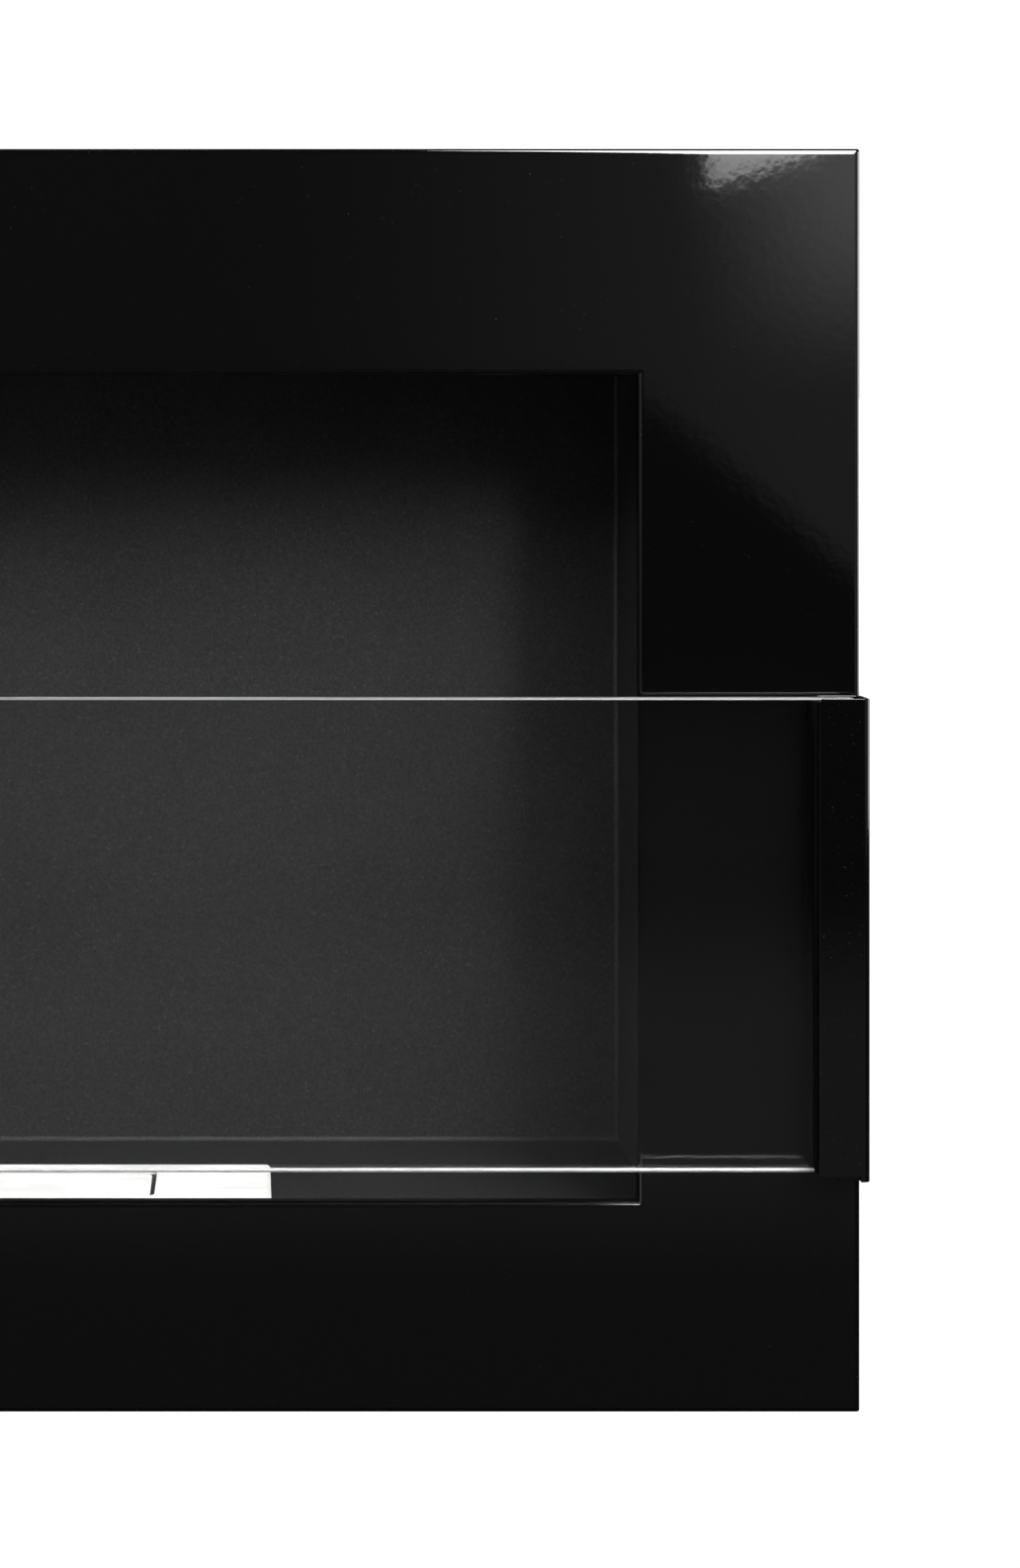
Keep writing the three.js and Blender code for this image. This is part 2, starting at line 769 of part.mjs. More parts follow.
add("rear_cover", rearCover(), zincPlate);
add("hanging_strip", hangingStrip(), zincPlate);
const rivetBody = rivet();
STRIP_RIVETS.forEach((x, i) =>
  add(`strip_rivet_${i + 1}`, rivetBody, zincPlate, x, COVER_BACK_Y, STRIP_RIVET_HEIGHT),
);
const screwBody = coverScrew();
COVER_SCREWS.forEach(([x, z], i) =>
  add(`cover_screw_${i + 1}`, screwBody, zincPlate, x, COVER_BACK_Y, z),
);

const sides = [
  ["right", (body) => body],
  ["left", mirrored],
];
for (const [side, place] of sides) {
  add(`glass_bracket_${side}`, place(glassBracket()), glossBlack);
  add(`glass_gasket_${side}`, place(glassGasket()), blackRubber);
  add(`glass_rest_pad_${side}`, place(restPad()), blackRubber);
  const x = side === "right" ? 1 : -1;
  BRACKET_STUD_HEIGHTS.forEach((z, i) =>
    add(`bracket_nut_${side}_${i + 1}`, nutBody, zincPlate, x * BRACKET_STUD_X, FACE_BACK_Y, z),
  );
  add(`wall_bumper_${side}`, wallBumper(), blackRubber, x * 280, COVER_BACK_Y, 62);
}

add("glass_pane", glassPane(), clearGlass);

add("burner_tank", burnerTank(), stainless);
add("burner_top_plate", burnerTopPlate(), stainless);
add("ceramic_wool_pad", woolPad(), ceramicWool);
add("wool_mesh", woolMesh(), stainless);

add("lid_plate", lidPlate(), stainless);
add("lid_handle", lidHandle(), stainless);

export default fireplace;
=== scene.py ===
# %% [markdown]
# # A wall-hung bioethanol fireplace
# The fireplace is a black steel box with a recessed firebox, a stainless burner in the firebox
# floor and a low glass guard in front. The working parts, their sizes and their joints come from
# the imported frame. This lesson builds the visible skins around that frame, gives every piece a
# finish made of nodes, and then sets the studio.

# %% Load the frame
import json
import math

import bmesh
import bpy
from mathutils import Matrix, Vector


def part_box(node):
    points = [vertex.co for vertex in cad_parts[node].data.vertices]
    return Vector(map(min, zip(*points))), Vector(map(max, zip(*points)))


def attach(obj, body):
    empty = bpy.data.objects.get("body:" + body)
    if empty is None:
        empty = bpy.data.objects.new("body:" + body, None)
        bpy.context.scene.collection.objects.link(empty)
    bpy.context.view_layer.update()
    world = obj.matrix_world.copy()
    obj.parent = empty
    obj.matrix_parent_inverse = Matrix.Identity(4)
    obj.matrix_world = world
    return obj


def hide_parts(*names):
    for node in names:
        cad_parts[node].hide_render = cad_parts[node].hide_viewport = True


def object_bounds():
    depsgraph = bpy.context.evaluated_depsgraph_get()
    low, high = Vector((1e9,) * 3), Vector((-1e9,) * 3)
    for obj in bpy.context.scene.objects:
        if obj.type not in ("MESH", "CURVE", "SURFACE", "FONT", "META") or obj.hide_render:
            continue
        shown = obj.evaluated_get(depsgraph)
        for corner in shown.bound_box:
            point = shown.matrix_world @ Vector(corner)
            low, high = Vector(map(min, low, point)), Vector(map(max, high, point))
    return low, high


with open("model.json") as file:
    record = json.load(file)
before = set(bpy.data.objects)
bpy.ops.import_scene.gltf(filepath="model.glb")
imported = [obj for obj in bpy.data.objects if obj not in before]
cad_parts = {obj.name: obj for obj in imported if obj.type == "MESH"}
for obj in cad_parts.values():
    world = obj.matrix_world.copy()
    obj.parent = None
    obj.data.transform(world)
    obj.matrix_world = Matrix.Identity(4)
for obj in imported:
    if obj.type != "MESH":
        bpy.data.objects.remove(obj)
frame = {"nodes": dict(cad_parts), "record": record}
cad_low, cad_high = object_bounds()
nodes = frame["nodes"]
print("nodes", len(nodes), "size", [round(v, 4) for v in cad_high - cad_low])

# %% [markdown]
# ## Sizes taken from the frame
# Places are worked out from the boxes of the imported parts, so a skin can't drift away from the
# part that it stands for. What no box can tell is written as a named number: the sheet's gauge,
# its bend radius, the edges of the opening, and how far the lip, the rear flange and the rim reach.

# %% Named places, in metres
MM = 0.001
SHEET = 1.5 * MM
BEND = 2.0 * MM
shell_low, shell_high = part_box("front_frame")
tray_low, tray_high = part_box("firebox_shell")
glass_low, glass_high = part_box("glass_pane")
cover_low, cover_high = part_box("burner_top_plate")
lid_low, lid_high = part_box("lid_plate")
face_y = shell_low.y
bottom_z = shell_low.z
OPENING_SIDE = 254.5 * MM
OPENING_BOTTOM = bottom_z + 67 * MM
OPENING_TOP = bottom_z + 328 * MM
LIP = 4.0 * MM
FLANGE = 12.0 * MM
RIM = 15.0 * MM
print("face at", round(face_y, 4), "bottom at", round(bottom_z, 4))

# %% [markdown]
# ## Turning outlines into meshes
# Most of this object is bent sheet. One closed line that shrinks, grows and moves on its way
# round a section describes such a sheet completely, so the main tool is a loft: a list of closed
# loops with equally many points, bridged one to the next. It gives clean four-sided faces and
# true bend radii, which a primitive with a bevel can't promise at the corners.

# %% Arcs and outlines
CORNER_STEPS = 6


def arc(centre, radius, start, end, steps):
    """Points on an arc, angles in degrees, as (u, v) pairs."""
    turns = [math.radians(start + (end - start) * k / steps) for k in range(steps + 1)]
    return [(centre[0] + radius * math.cos(t), centre[1] + radius * math.sin(t)) for t in turns]


def round_rectangle(u0, u1, v0, v1, radius):
    """A rectangle's outline with round corners, counter-clockwise from the lower left."""
    r = max(radius, 0.02 * MM)
    corners = [(u0 + r, v0 + r), (u1 - r, v0 + r), (u1 - r, v1 - r), (u0 + r, v1 - r)]
    outline = []
    for i, middle in enumerate(corners):
        outline += arc(middle, r, 180 + 90 * i, 270 + 90 * i, CORNER_STEPS)
    return outline


# %% Meshes from loops
def new_piece(name, bm):
    """A mesh object in the row frame with outward faces."""
    bmesh.ops.recalc_face_normals(bm, faces=bm.faces)
    mesh = bpy.data.meshes.new(name)
    bm.to_mesh(mesh)
    bm.free()
    piece = bpy.data.objects.new(name, mesh)
    bpy.context.scene.collection.objects.link(piece)
    return piece


def loft(name, loops, closed=True, caps=False):
    """Bridges equally long loops of 3-D points. closed joins the last loop to the first."""
    bm = bmesh.new()
    rings = [[bm.verts.new(point) for point in loop] for loop in loops]
    following = rings[1:] + rings[:1] if closed else rings[1:]
    for one, other in zip(rings, following):
        for i in range(len(one)):
            j = (i + 1) % len(one)
            bm.faces.new((one[i], one[j], other[j], other[i]))
    if caps:
        bm.faces.new(rings[0])
        bm.faces.new(rings[-1])
    return new_piece(name, bm)


def prism(name, outline, axis, start, end):
    """An outline pushed out along y or z. Its own u is x, and its v is the axis left over."""
    place = {"y": lambda u, v, w: (u, w, v), "z": lambda u, v, w: (u, v, w)}[axis]
    loops = [[place(u, v, w) for u, v in outline] for w in (start, end)]
    return loft(name, loops, closed=False, caps=True)


def lathe(name, profile, centre, steps=40):
    """A turned piece on an axis along Y: the profile is (radius, distance from the centre).

    A radius of nothing gives one point, so the quads next to it lose a corner.
    """
    bm = bmesh.new()
    rings = []
    for radius, along in profile:
        if radius == 0:
            rings.append([bm.verts.new((centre[0], centre[1] + along, centre[2]))])
            continue
        circle = arc((centre[0], centre[2]), radius, 0, 360, steps)[:-1]
        rings.append([bm.verts.new((x, centre[1] + along, z)) for x, z in circle])
    for one, other in zip(rings, rings[1:]):
        for i in range(steps):
            j = (i + 1) % steps
            around = ((one, i), (one, j), (other, j), (other, i))
            corners = [ring[k % len(ring)] for ring, k in around]
            bm.faces.new(list(dict.fromkeys(corners)))
    return new_piece(name, bm)


# %% [markdown]
# ## Bent strips
# The channels that hold the glass and the loop on the lid are strips folded on a press brake.
# Their section is the middle line of the sheet, so the helper offsets that line by half a gauge
# to each side and rounds every fold about its own centre.

# %% Section of a folded strip
def folded(points, gauge, inside_radius, steps=6):
    """The closed outline of a bent sheet whose middle line follows the points."""
    half = gauge / 2
    bend = inside_radius + half
    path = [Vector(p) for p in points]
    left = []
    right = []
    for i, point in enumerate(path):
        into = (point - path[i - 1]).normalized() if i > 0 else None
        out = (path[i + 1] - point).normalized() if i < len(path) - 1 else None
        if into is None or out is None:
            along = into or out
            across = Vector((-along.y, along.x))
            left.append(point + across * half)
            right.append(point - across * half)
            continue
        turn = math.atan2(into.x * out.y - into.y * out.x, into.dot(out))
        side = math.copysign(1, turn)
        inward = Vector((-into.y, into.x)) * side
        centre = point - into * bend * math.tan(abs(turn) / 2) + inward * bend
        for k in range(steps + 1):
            angle = turn * k / steps
            c = math.cos(angle)
            s = math.sin(angle)
            radial = Vector((-inward.x * c + inward.y * s, -inward.x * s - inward.y * c))
            left.append(centre + radial * (bend - side * half))
            right.append(centre + radial * (bend + side * half))
    return [tuple(p) for p in left + right[::-1]]


# %% [markdown]
# ## Finishing a mesh
# Cut-outs are exact booleans. Sharp edges that the eye comes near to get a bevel of about a third
# of a millimetre, because paint and deburring round an edge and that thin bright line is what
# reads as real metal. Modifiers are applied at once. Faces are then smooth, edges over 35 degrees
# stay sharp, and weighted normals keep the large flats flat.

# %% Cut, join and bevel
def bake_modifiers(piece):
    depsgraph = bpy.context.evaluated_depsgraph_get()
    mesh = bpy.data.meshes.new_from_object(piece.evaluated_get(depsgraph))
    piece.modifiers.clear()
    piece.data = mesh


def combine(piece, operation, others):
    """An exact boolean with other pieces, which it uses up."""
    for other in others:
        step = piece.modifiers.new("combine", "BOOLEAN")
        step.operation = operation
        step.solver = "EXACT"
        step.object = other
    bake_modifiers(piece)
    for other in others:
        bpy.data.objects.remove(other)


def cut_away(piece, *cutters):
    combine(piece, "DIFFERENCE", cutters)


def join_on(piece, *others):
    combine(piece, "UNION", others)


def soften(piece, width=0.3 * MM, segments=3, angle=40):
    """Rounds the edges that are sharper than the angle."""
    step = piece.modifiers.new("soften", "BEVEL")
    step.width = width
    step.segments = segments
    step.limit_method = "ANGLE"
    step.angle_limit = math.radians(angle)
    step.harden_normals = False
    bake_modifiers(piece)


# %% Shade a piece and let it stand for its CAD nodes
def shade(piece, sharp_angle=35):
    """Smooth faces, with the edges over the angle kept sharp."""
    bm = bmesh.new()
    bm.from_mesh(piece.data)
    for face in bm.faces:
        face.smooth = True
    for edge in bm.edges:
        sharp = len(edge.link_faces) == 2 and edge.calc_face_angle() > math.radians(sharp_angle)
        edge.smooth = not sharp
    bm.to_mesh(piece.data)
    bm.free()
    step = piece.modifiers.new("flat_faces", "WEIGHTED_NORMAL")
    step.keep_sharp = True
    bake_modifiers(piece)


def stand_for(piece, body, slot_name, *cad_nodes):
    """The piece moves with the body and hides the CAD nodes. The slot name is not used."""
    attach(piece, body)
    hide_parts(*cad_nodes)
    print(piece.name, "faces", len(piece.data.polygons))


# %% [markdown]
# ## Shader maths as expressions
# A socket wrapped in this small class can be added, multiplied and compared like a number, and
# each operator adds the Math node that it stands for. Any other node comes from one method, which
# takes the node's type, then its settings, then the values or links of its sockets.

# %% The socket class
class Wire:
    """A node's output socket that takes part in Python expressions."""

    def __init__(self, paint, socket):
        self.paint = paint
        self.socket = socket

    def _math(self, operation, first, second):
        return self.paint.node("ShaderNodeMath", {"operation": operation}, {0: first, 1: second})

    def __add__(self, other):
        return self._math("ADD", self, other)

    __radd__ = __add__

    def __mul__(self, other):
        return self._math("MULTIPLY", self, other)

    __rmul__ = __mul__

    def __sub__(self, other):
        return self._math("SUBTRACT", self, other)

    def __rsub__(self, other):
        return self._math("SUBTRACT", other, self)

    def __gt__(self, other):
        return self._math("GREATER_THAN", self, other)


# %% The paint class
# The Mix node has sockets for each kind of data. These are the places of the colour ones.
MIX_DARK = 6
MIX_LIGHT = 7
MIX_RESULT = 2


class Paint:
    """The nodes of a new material, or of the world given, while they are being laid."""

    def __init__(self, name, world=None):
        self.owner = world or bpy.data.materials.new(name)
        self.owner.use_nodes = True
        self.tree = self.owner.node_tree
        self.tree.nodes.clear()

    def node(self, kind, settings=None, sockets=None, output=0):
        """Adds a node: its settings first, then the values or links of its sockets."""
        made = self.tree.nodes.new(kind)
        for key, value in (settings or {}).items():
            setattr(made, key, value)
        for key, value in (sockets or {}).items():
            if isinstance(value, Wire):
                self.tree.links.new(value.socket, made.inputs[key])
            else:
                made.inputs[key].default_value = value
        return Wire(self, made.outputs[output]) if len(made.outputs) else None

    def place(self, stretch=(1, 1, 1)):
        """Where a point lies on its own part, in metres, stretched along each axis."""
        where = self.node("ShaderNodeTexCoord", output="Object")
        return self.node(
            "ShaderNodeVectorMath", {"operation": "MULTIPLY"}, {0: where, 1: stretch}
        )

    def noise(self, scale, detail, roughness, stretch=(1, 1, 1)):
        sockets = {"Scale": scale, "Detail": detail, "Roughness": roughness}
        return self.node(
            "ShaderNodeTexNoise",
            {"noise_dimensions": "3D"},
            {"Vector": self.place(stretch), **sockets},
        )

    def cells(self, scale, channel):
        """One random number per cell: a colour channel of the Voronoi texture."""
        colour = self.node(
            "ShaderNodeTexVoronoi",
            {"feature": "F1"},
            {"Vector": self.place(), "Scale": scale},
            "Color",
        )
        return self.node("ShaderNodeSeparateColor", None, {"Color": colour}, channel)

    def tint(self, share, dark, light):
        """A colour between two, by a share from 0 to 1."""
        return self.node(
            "ShaderNodeMix",
            {"data_type": "RGBA"},
            {"Factor": share, MIX_DARK: (*dark, 1), MIX_LIGHT: (*light, 1)},
            MIX_RESULT,
        )

    def bump(self, height, strength, distance):
        """A normal that follows a height. The distance is how high a height of one stands."""
        return self.node(
            "ShaderNodeBump", None, {"Height": height, "Strength": strength, "Distance": distance}
        )

    def surface(self, constants, **varying):
        """The Principled shader: constants on its own sockets, and what varies linked."""
        names = {"base": "Base Color", "rough": "Roughness", "normal": "Normal"}
        sockets = {**constants, **{names[key]: wire for key, wire in varying.items()}}
        return self.node("ShaderNodeBsdfPrincipled", None, sockets)

    def done(self, shader, output="ShaderNodeOutputMaterial"):
        self.node(output, None, {"Surface": shader})
        return self.owner


# %% [markdown]
# ## Gloss black powder coat
# The housing and the glass channels carry a black gloss coat. Close up it is not a mirror: the
# cured paint has a faint orange peel, a few millimetres from crest to crest, which makes the
# edge of a lamp's reflection waver. A very small bump does that, and a slow noise lets the gloss
# itself vary a little, with a few specks of dust.

# %% Gloss black
def gloss_black():
    paint = Paint("gloss_black_paint")
    peel = paint.noise(scale=330, detail=1.5, roughness=0.5)
    haze = paint.noise(scale=9, detail=3.0, roughness=0.55)
    dust = paint.noise(scale=1500, detail=1.0, roughness=0.5) > 0.76
    return paint.done(
        paint.surface(
            {"Metallic": 0.0, "IOR": 1.5, "Specular IOR Level": 0.5},
            base=paint.tint(dust, (0.0046, 0.0046, 0.0046), (0.03, 0.03, 0.03)),
            rough=0.025 + haze * 0.04 + dust * 0.3,
            normal=paint.bump(peel, strength=0.015, distance=0.6 * MM),
        )
    )


# %% [markdown]
# ## Textured stove paint
# Inside the firebox the paint is matt and sandy, with grains under a millimetre across. Two
# noises give the grain and its slow patchiness, and cells with a high random value get a lighter
# base colour: a painted glint that stands in for grains which catch the light and sparkle.

# %% Matt textured black
def texture_black():
    paint = Paint("texture_black_paint")
    grain = paint.noise(scale=1100, detail=4.0, roughness=0.7)
    patch = paint.noise(scale=22, detail=3.0, roughness=0.6)
    # Cells over 0.985 get a lighter base colour: a painted glint for the sparkling grains.
    painted_glint = paint.cells(1300, "Red") > 0.985
    tone = patch * 0.4 + grain * 1.9 - 0.7 + painted_glint * 0.9
    return paint.done(
        paint.surface(
            {"Metallic": 0.0, "IOR": 1.45, "Specular IOR Level": 0.4},
            base=paint.tint(tone, (0.012, 0.012, 0.0125), (0.05, 0.05, 0.051)),
            rough=0.6 - grain * 0.2,
            normal=paint.bump(grain, strength=0.55, distance=0.25 * MM),
        )
    )


# %% [markdown]
# ## Brushed stainless steel
# The burner is rolled and brushed along its length, so its marks are long in X and very fine
# across. Stretching the texture space gives them: the same noise drives colour, roughness and a
# slight bump, so all three agree.

# %% Stainless steel
def stainless():
    paint = Paint("stainless_steel")
    brush = paint.noise(scale=1.0, detail=4.0, roughness=0.65, stretch=(14, 2600, 2600))
    stain = paint.noise(scale=30, detail=3.0, roughness=0.5)
    return paint.done(
        paint.surface(
            {"Metallic": 1.0},
            base=paint.tint(brush * 0.7 + stain * 0.3, (0.5, 0.5, 0.49), (0.74, 0.735, 0.72)),
            rough=0.2 + brush * 0.16 + stain * 0.06,
            normal=paint.bump(brush, strength=0.12, distance=0.05 * MM),
        )
    )


# %% [markdown]
# ## Zinc-coated sheet
# The back, the rail and the inner brackets are plain galvanised steel. Its zinc crystals show as
# pale patches under a centimetre across, each with its own grey and its own gloss.

# %% Zinc plate
def zinc_plate():
    paint = Paint("zinc_plate")
    crystal = paint.cells(150, "Green")
    smear = paint.noise(scale=60, detail=4.0, roughness=0.6)
    share = crystal * 0.6 + smear * 0.4
    return paint.done(
        paint.surface(
            {"Metallic": 1.0},
            base=paint.tint(share, (0.34, 0.35, 0.36), (0.6, 0.61, 0.62)),
            rough=0.5 - crystal * 0.16 + smear * 0.06,
            normal=paint.bump(smear, strength=0.08, distance=0.2 * MM),
        )
    )


# %% Fastener steel
def fastener_steel():
    paint = Paint("fastener_steel")
    wear = paint.noise(scale=700, detail=3.0, roughness=0.6)
    return paint.done(
        paint.surface(
            {"Metallic": 1.0},
            base=paint.tint(wear, (0.42, 0.42, 0.41), (0.68, 0.68, 0.66)),
            rough=0.24 + wear * 0.2,
            normal=paint.bump(wear, strength=0.1, distance=0.05 * MM),
        )
    )


# %% [markdown]
# ## Rubber, wool and glass
# The channel lining is matt silicone with a faint moulded grain. The wool in the burner is white
# ceramic fibre. The guard is clear toughened glass: its faces transmit and mirror, and its ground
# edges scatter, which is why they shine as thin lines. Lamps reach the recess through the pane,
# so for shadow rays the glass is simply transparent.

# %% Rubber
def black_rubber():
    paint = Paint("black_rubber")
    grain = paint.noise(scale=1800, detail=2.0, roughness=0.6)
    return paint.done(
        paint.surface(
            {"Metallic": 0.0, "IOR": 1.45, "Specular IOR Level": 0.05},
            base=paint.tint(grain, (0.001, 0.001, 0.001), (0.004, 0.004, 0.004)),
            rough=0.7 + grain * 0.2,
            normal=paint.bump(grain, strength=0.25, distance=0.1 * MM),
        )
    )


# %% Ceramic wool
def ceramic_wool():
    paint = Paint("ceramic_wool")
    fibre = paint.noise(scale=260, detail=6.0, roughness=0.75, stretch=(1, 5, 1))
    return paint.done(
        paint.surface(
            {"Metallic": 0.0},
            base=paint.tint(fibre, (0.55, 0.53, 0.48), (0.88, 0.86, 0.82)),
            rough=0.85 + fibre * 0.1,
            normal=paint.bump(fibre, strength=0.7, distance=0.6 * MM),
        )
    )


# %% Clear glass and its ground edge
def glass(name, base, roughness, haze_scale, clear_share=1.0):
    paint = Paint(name)
    smear = paint.noise(scale=haze_scale, detail=3.0, roughness=0.6)
    pane = paint.surface(
        {
            "IOR": 1.5,
            "Transmission Weight": clear_share,
            "Metallic": 0.0,
            "Base Color": (*base, 1),
        },
        rough=roughness + smear * roughness * 0.5,
    )
    lamp_ray = paint.node("ShaderNodeLightPath", output="Is Shadow Ray")
    clear = paint.node("ShaderNodeBsdfTransparent", None, {"Color": (*base, 1)})
    return paint.done(paint.node("ShaderNodeMixShader", None, {0: lamp_ray, 1: pane, 2: clear}))


finishes = {
    "gloss_black_paint": gloss_black(),
    "texture_black_paint": texture_black(),
    "stainless_steel": stainless(),
    "zinc_plate": zinc_plate(),
    "fastener_steel": fastener_steel(),
    "black_rubber": black_rubber(),
    "ceramic_wool": ceramic_wool(),
    "clear_glass": glass(
        "clear_glass", base=(0.985, 0.99, 0.988), roughness=0.003, haze_scale=12
    ),
}
ground_edge = glass(
    "ground_glass_edge",
    base=(0.93, 0.955, 0.95),
    roughness=0.3,
    haze_scale=400,
    clear_share=0.6,
)
print("finishes", len(finishes) + 1)

# %% [markdown]
# ## Dressing the CAD parts
# Every node takes the finish of its slot in the record, so the ones that stay in view and the
# ones that a skin replaces agree.

# %% Finish every CAD node
def finish(piece, slot_name):
    piece.data.materials.clear()
    piece.data.materials.append(finishes[slot_name])


slot_of = {part["node"]: part["material_slot"] for part in frame["record"]["subparts"]}
for name, node in nodes.items():
    finish(node, slot_of[name])
print("dressed", len(nodes))


# %% [markdown]
# ## The housing
# Face, four sides and rear flanges are one folded and welded sheet. Going once round its section
# gives the whole shell: from the rear flange out to the side, along it, round the front bend,
# over the face, round the bend of the opening and back on the inner skin. Each stop on that way
# is a rectangle, so the shell is a loft of rectangles with 0.8 mm welded corners.

# %% Loops of the housing
SEAM = 0.8 * MM
INNER_SEAM = 0.3 * MM
SEAM_TIGHTENING = 0.3
BEND_STEPS = 6


def outer_loop(inset, y):
    outline = round_rectangle(
        shell_low.x + inset,
        shell_high.x - inset,
        shell_low.z + inset,
        shell_high.z - inset,
        max(SEAM - inset * SEAM_TIGHTENING, INNER_SEAM),
    )
    return [(x, y, z) for x, z in outline]


def opening_loop(outset, y):
    outline = round_rectangle(
        -OPENING_SIDE - outset,
        OPENING_SIDE + outset,
        OPENING_BOTTOM - outset,
        OPENING_TOP + outset,
        INNER_SEAM,
    )
    return [(x, y, z) for x, z in outline]


def bend_stops(radius, centre_offset, centre_y, start, end):
    """(distance in from the edge, y) along a bend, from a start to an end angle."""
    return arc((centre_offset, centre_y), radius, start, end, BEND_STEPS)


# %% Build the housing
inner = BEND - SHEET
rear_y = shell_high.y
loops = [outer_loop(FLANGE, rear_y)]
loops += [outer_loop(d, y) for d, y in bend_stops(BEND, BEND, rear_y - BEND, 90, 180)]
loops += [outer_loop(d, y) for d, y in bend_stops(BEND, BEND, face_y + BEND, 180, 270)]
loops += [opening_loop(d, y) for d, y in bend_stops(BEND, BEND, face_y + BEND, 270, 180)]
loops += [opening_loop(d, face_y + LIP) for d in (0, SHEET)]
loops += [opening_loop(d, y) for d, y in bend_stops(inner, BEND, face_y + BEND, 180, 270)]
loops += [outer_loop(d, y) for d, y in bend_stops(inner, BEND, face_y + BEND, 270, 180)]
loops += [outer_loop(d, y) for d, y in bend_stops(inner, BEND, rear_y - BEND, 180, 90)]
loops += [outer_loop(FLANGE, rear_y - SHEET)]
housing = loft("housing_skin", loops)
shade(housing)
finish(housing, "gloss_black_paint")
stand_for(housing, "housing", "gloss_black_paint", "front_frame")

# %% [markdown]
# ## The firebox
# The firebox is a tray of the same sheet, welded at its corners, with a two-millimetre bend round
# the back panel and a flat rim behind the face. It is lofted like the housing, closed by the back
# panel on both skins, and the burner's cut-out is taken from its floor.

# %% Build the firebox
TRAY_SEAM = 0.7 * MM
RIM_CORNER = 2.0 * MM
side = tray_high.x - RIM
floor_z = tray_low.z + RIM
roof_z = tray_high.z - RIM
back_y = tray_high.y - SHEET


def tray_loop(inset, y, radius=TRAY_SEAM):
    outline = round_rectangle(
        -side + inset, side - inset, floor_z + inset, roof_z - inset, radius
    )
    return [(x, y, z) for x, z in outline]


front = tray_low.y
rim_back = front + SHEET
loops = [tray_loop(d, y) for d, y in bend_stops(BEND, BEND, back_y - BEND, 90, 180)]
loops += [tray_loop(0, front)]
loops += [tray_loop(-RIM, y, RIM_CORNER) for y in (front, rim_back)]
loops += [tray_loop(-SHEET, rim_back, RIM_CORNER)]
loops += [
    tray_loop(d, y, RIM_CORNER)
    for d, y in bend_stops(BEND + SHEET, BEND, back_y - BEND, 180, 90)
]
firebox = loft("firebox_skin", loops, closed=False, caps=True)

# %% Cut the burner's hole in the floor
END_GAP = 3.5 * MM
SIDE_GAP = 2.5 * MM
HOLE_CORNER = 3.0 * MM
CUT_DEPTH = 5.0 * MM
tank_low, tank_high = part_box("burner_tank")
hole = round_rectangle(
    tank_low.x - END_GAP,
    tank_high.x + END_GAP,
    tank_low.y - SIDE_GAP,
    tank_high.y + SIDE_GAP,
    HOLE_CORNER,
)
cut_away(firebox, prism("cutter", hole, "z", floor_z - CUT_DEPTH, floor_z + CUT_DEPTH))
shade(firebox)
finish(firebox, "texture_black_paint")
stand_for(firebox, "housing", "texture_black_paint", "firebox_shell")

# %% [markdown]
# ## The glass channels
# Each channel is a folded strip: a front flange with a rounded top corner, a web flush with the
# side of the housing, a rear flange on the face, and a tab under the glass. The left one is the
# right one's mirror image, so one function builds both from the sign of x.

# %% Outlines of a channel
FRONT_FLANGE = 16.0 * MM
REAR_FLANGE = 14.0 * MM
TOP_CORNER = 1.6 * MM
TAB_REACH = 9.5 * MM
TAB_NOTCH = 3.0 * MM
SPARE = 1.0 * MM
edge = shell_high.x
flange_x = edge - FRONT_FLANGE


def mirror_x(points, sign):
    return [(sign * u, v) for u, v in points]


def strip_section(front_y):
    """The folded strip, seen from above."""
    half = SHEET / 2
    middle_line = [
        (flange_x, front_y + half),
        (edge - half, front_y + half),
        (edge - half, face_y - half),
        (edge - REAR_FLANGE, face_y - half),
    ]
    return folded(middle_line, SHEET, inner)


def corner_cutter(top_z):
    """What a rounded top corner takes off the front flange, seen from the front."""
    out_x = flange_x - SPARE
    over_z = top_z + SPARE
    rounding = arc((flange_x + TOP_CORNER, top_z - TOP_CORNER), TOP_CORNER, 90, 180, 8)
    before = [(out_x, over_z), (flange_x + TOP_CORNER, over_z)]
    return before + rounding + [(out_x, top_z - TOP_CORNER)]


def notch_cutter(bottom_z, tab_top):
    """What the front flange loses beside the tab, seen from the front."""
    out_x = flange_x - SPARE
    under_z = bottom_z - SPARE
    stop_x = edge - TAB_NOTCH
    return [(out_x, under_z), (stop_x, under_z), (stop_x, tab_top), (out_x, tab_top)]


# %% Build the channels
def channel(side_name, sign):
    low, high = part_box("glass_bracket_" + side_name)
    section = mirror_x(strip_section(low.y), sign)
    piece = prism("glass_channel_" + side_name, section, "z", low.z, high.z)
    tab_top = low.z + SHEET
    span = (low.y - SPARE, low.y + 3 * SPARE)
    cut_away(
        piece,
        prism("cutter", mirror_x(corner_cutter(high.z), sign), "y", *span),
        prism("cutter", mirror_x(notch_cutter(low.z, tab_top), sign), "y", *span),
    )
    web_x = edge - SHEET / 2
    tab_x = edge - TAB_REACH
    near_y = low.y + BEND
    far_y = face_y - BEND
    tab = [(tab_x, near_y), (web_x, near_y), (web_x, far_y), (tab_x, far_y)]
    join_on(piece, prism("tab", mirror_x(tab, sign), "z", low.z, tab_top))
    soften(piece, 0.35 * MM)
    shade(piece)
    finish(piece, "gloss_black_paint")
    stand_for(piece, "housing", "gloss_black_paint", "glass_bracket_" + side_name)


for side_name, sign in (("right", 1), ("left", -1)):
    channel(side_name, sign)

# %% [markdown]
# ## The channel lining
# A rubber profile lines each channel and presses the glass against the front flange. Its section
# is a U with one thick leg. The lips are rounded, as extruded silicone is.

# %% Build the linings
GLASS_PLAY = 0.2 * MM
LINING_WALL = 1.1 * MM


